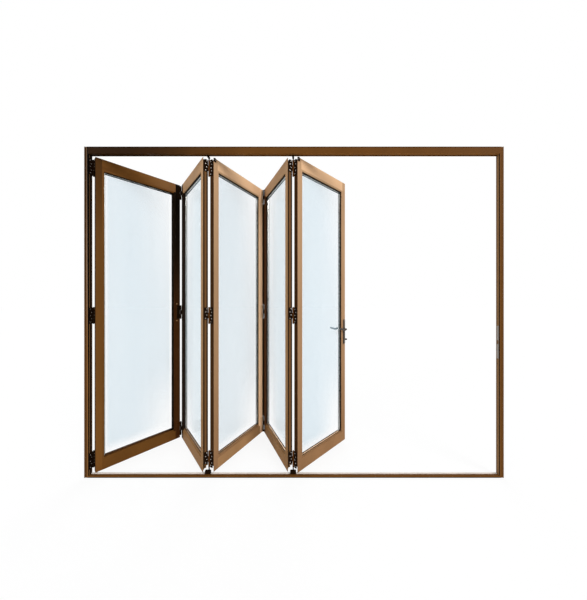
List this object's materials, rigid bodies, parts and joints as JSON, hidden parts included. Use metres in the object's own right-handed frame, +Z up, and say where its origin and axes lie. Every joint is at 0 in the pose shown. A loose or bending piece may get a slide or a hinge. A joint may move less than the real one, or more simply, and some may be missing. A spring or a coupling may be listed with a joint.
{
  "type": "folding door",
  "caption": "Glazed metal folding door in its outer frame, with hinged leaves on a head track, part folded, and a lever handle set.",
  "frame": {"origin": "middle of the sill's underside, halfway through the frame's depth", "axes": "+X along the frame to the right seen from the room, +Y towards the weather side where the leaves fold, +Z up"},
  "size_m": [3.04, 0.5684, 2.4],
  "materials": {
    "frame_bronze": "satin powder coat",
    "leaf_bronze": "satin powder coat",
    "leaf_light_bronze": "satin powder coat",
    "glass": "clear double glazing",
    "satin_aluminium": "satin mill finish",
    "seal_rubber": "matt",
    "hinge_bronze": "satin powder coat",
    "hardware_steel": "satin",
    "handle_grey": "satin"
  },
  "bodies": {
    "frame_and_leaves": {"backplates": "handle_grey", "bottom_guides": "hardware_steel", "corner_lugs": "hinge_bronze", "edge_seals": "seal_rubber", "glass_spacers": "satin_aluminium", "glazing_gaskets": "seal_rubber", "head_track": "frame_bronze", "hinges_1_2": "hinge_bronze", "hinges_2_3": "hinge_bronze", "hinges_3_4": "hinge_bronze", "hinges_4_5": "hinge_bronze", "jamb_hinges": "hinge_bronze", "jamb_seals": "seal_rubber", "leaf_1_beads": "leaf_bronze", "leaf_1_glass": "glass", "leaf_1_rails": "leaf_bronze", "leaf_1_stiles": "leaf_bronze", "leaf_2_beads": "leaf_light_bronze", "leaf_2_glass": "glass", "leaf_2_rails": "leaf_light_bronze", "leaf_2_stiles": "leaf_light_bronze", "leaf_3_beads": "leaf_light_bronze", "leaf_3_glass": "glass", "leaf_3_rails": "leaf_light_bronze", "leaf_3_stiles": "leaf_light_bronze", "leaf_4_beads": "leaf_light_bronze", "leaf_4_glass": "glass", "leaf_4_rails": "leaf_light_bronze", "leaf_4_stiles": "leaf_light_bronze", "leaf_5_beads": "leaf_light_bronze", "leaf_5_glass": "glass", "leaf_5_rails": "leaf_light_bronze", "leaf_5_stiles": "leaf_light_bronze", "left_jamb": "frame_bronze", "lock_cylinder": "hardware_steel", "lock_plates": "hardware_steel", "rail_brushes": "seal_rubber", "right_jamb": "frame_bronze", "roller_carriers": "hardware_steel", "sill": "frame_bronze", "sill_guide": "satin_aluminium"},
    "lever": {"room_lever": "handle_grey", "outer_lever": "handle_grey", "lever_spindle": "hardware_steel"},
    "lock_knob": {"turn_knob": "handle_grey"}
  },
  "joints": [
    {"name": "lever_turn", "type": "hinge", "parent": "frame_and_leaves", "child": "lever", "pos_m": [0.42783, 0.39948, 1.025], "axis": [0.7071, -0.7071, 0], "range_deg": [0, 45], "stiffness_Nm_per_rad": 2, "springref_deg": -14.32},
    {"name": "lock_turn", "type": "hinge", "parent": "frame_and_leaves", "child": "lock_knob", "pos_m": [0.42783, 0.39948, 0.935], "axis": [0.7071, -0.7071, 0], "range_deg": [0, 90]}
  ]
}
